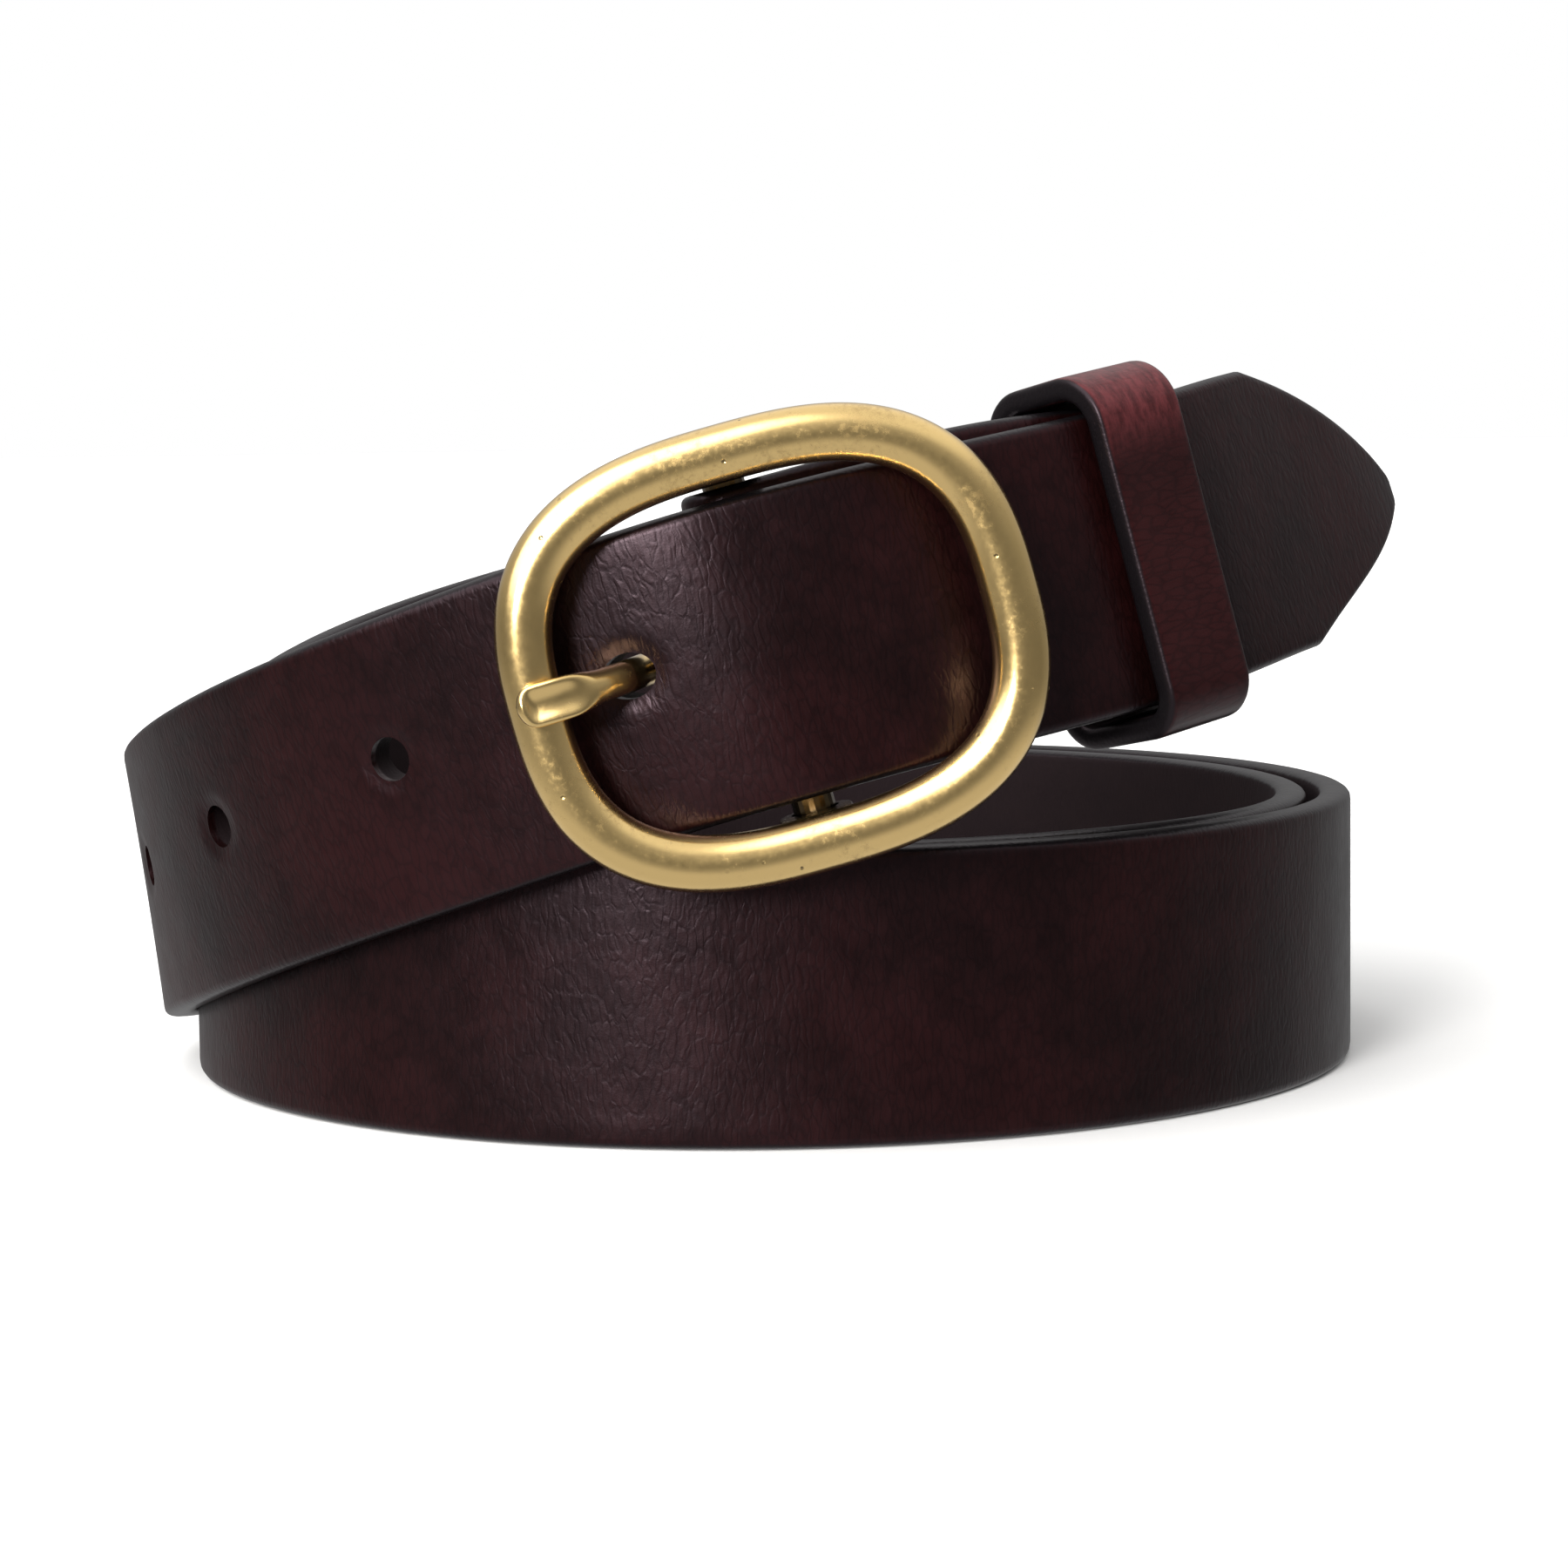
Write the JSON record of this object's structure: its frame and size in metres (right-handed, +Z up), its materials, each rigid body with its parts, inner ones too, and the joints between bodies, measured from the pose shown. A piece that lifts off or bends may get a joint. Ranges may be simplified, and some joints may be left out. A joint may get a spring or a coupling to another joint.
{
  "type": "leather belt",
  "caption": "Gentlemen's dress belt of burgundy brown leather, buckled through its brass frame buckle and wound into a coil that stands on its edge.",
  "frame": {"origin": "middle of the bounding box, on the surface that the coil stands on", "axes": "+Z up across the strap's width, -Y towards the buckle and its viewer, +X to the viewer's right, towards which the belt's tapered end points"},
  "size_m": [0.1324, 0.1395, 0.0725],
  "materials": {
    "strap_leather": "smooth aniline leather with a satin sheen and burnished edges",
    "keeper_leather": "smooth oxblood leather with a dark cut edge",
    "brass": "antique satin with small worn patches",
    "steel": "bright drawn wire"
  },
  "bodies": {
    "belt": {"strap": "strap_leather", "screw_post_1": "brass", "fold_screw_1": "brass", "screw_post_2": "brass", "fold_screw_2": "brass"},
    "buckle": {"buckle_frame": "brass", "centre_bar": "brass"},
    "prong": {"prong": "brass"},
    "keeper": {"keeper": "keeper_leather", "keeper_staple": "steel"}
  },
  "joints": [
    {"name": "buckle_swing", "type": "hinge", "parent": "belt", "child": "buckle", "pos_m": [0.00208, -0.05448, 0.04678], "axis": [-0.2583, 0.0009, 0.9661], "range_deg": [-1.2, 1.2]},
    {"name": "prong_swing", "type": "hinge", "parent": "buckle", "child": "prong", "pos_m": [0.00208, -0.05448, 0.04678], "axis": [-0.2583, 0.0009, 0.9661], "range_deg": [0, 2.5]},
    {"name": "keeper_slide", "type": "slide", "parent": "belt", "child": "keeper", "axis": [-0.7687, -0.616, -0.1722], "range_m": [-0.0025, 0.0025]}
  ]
}
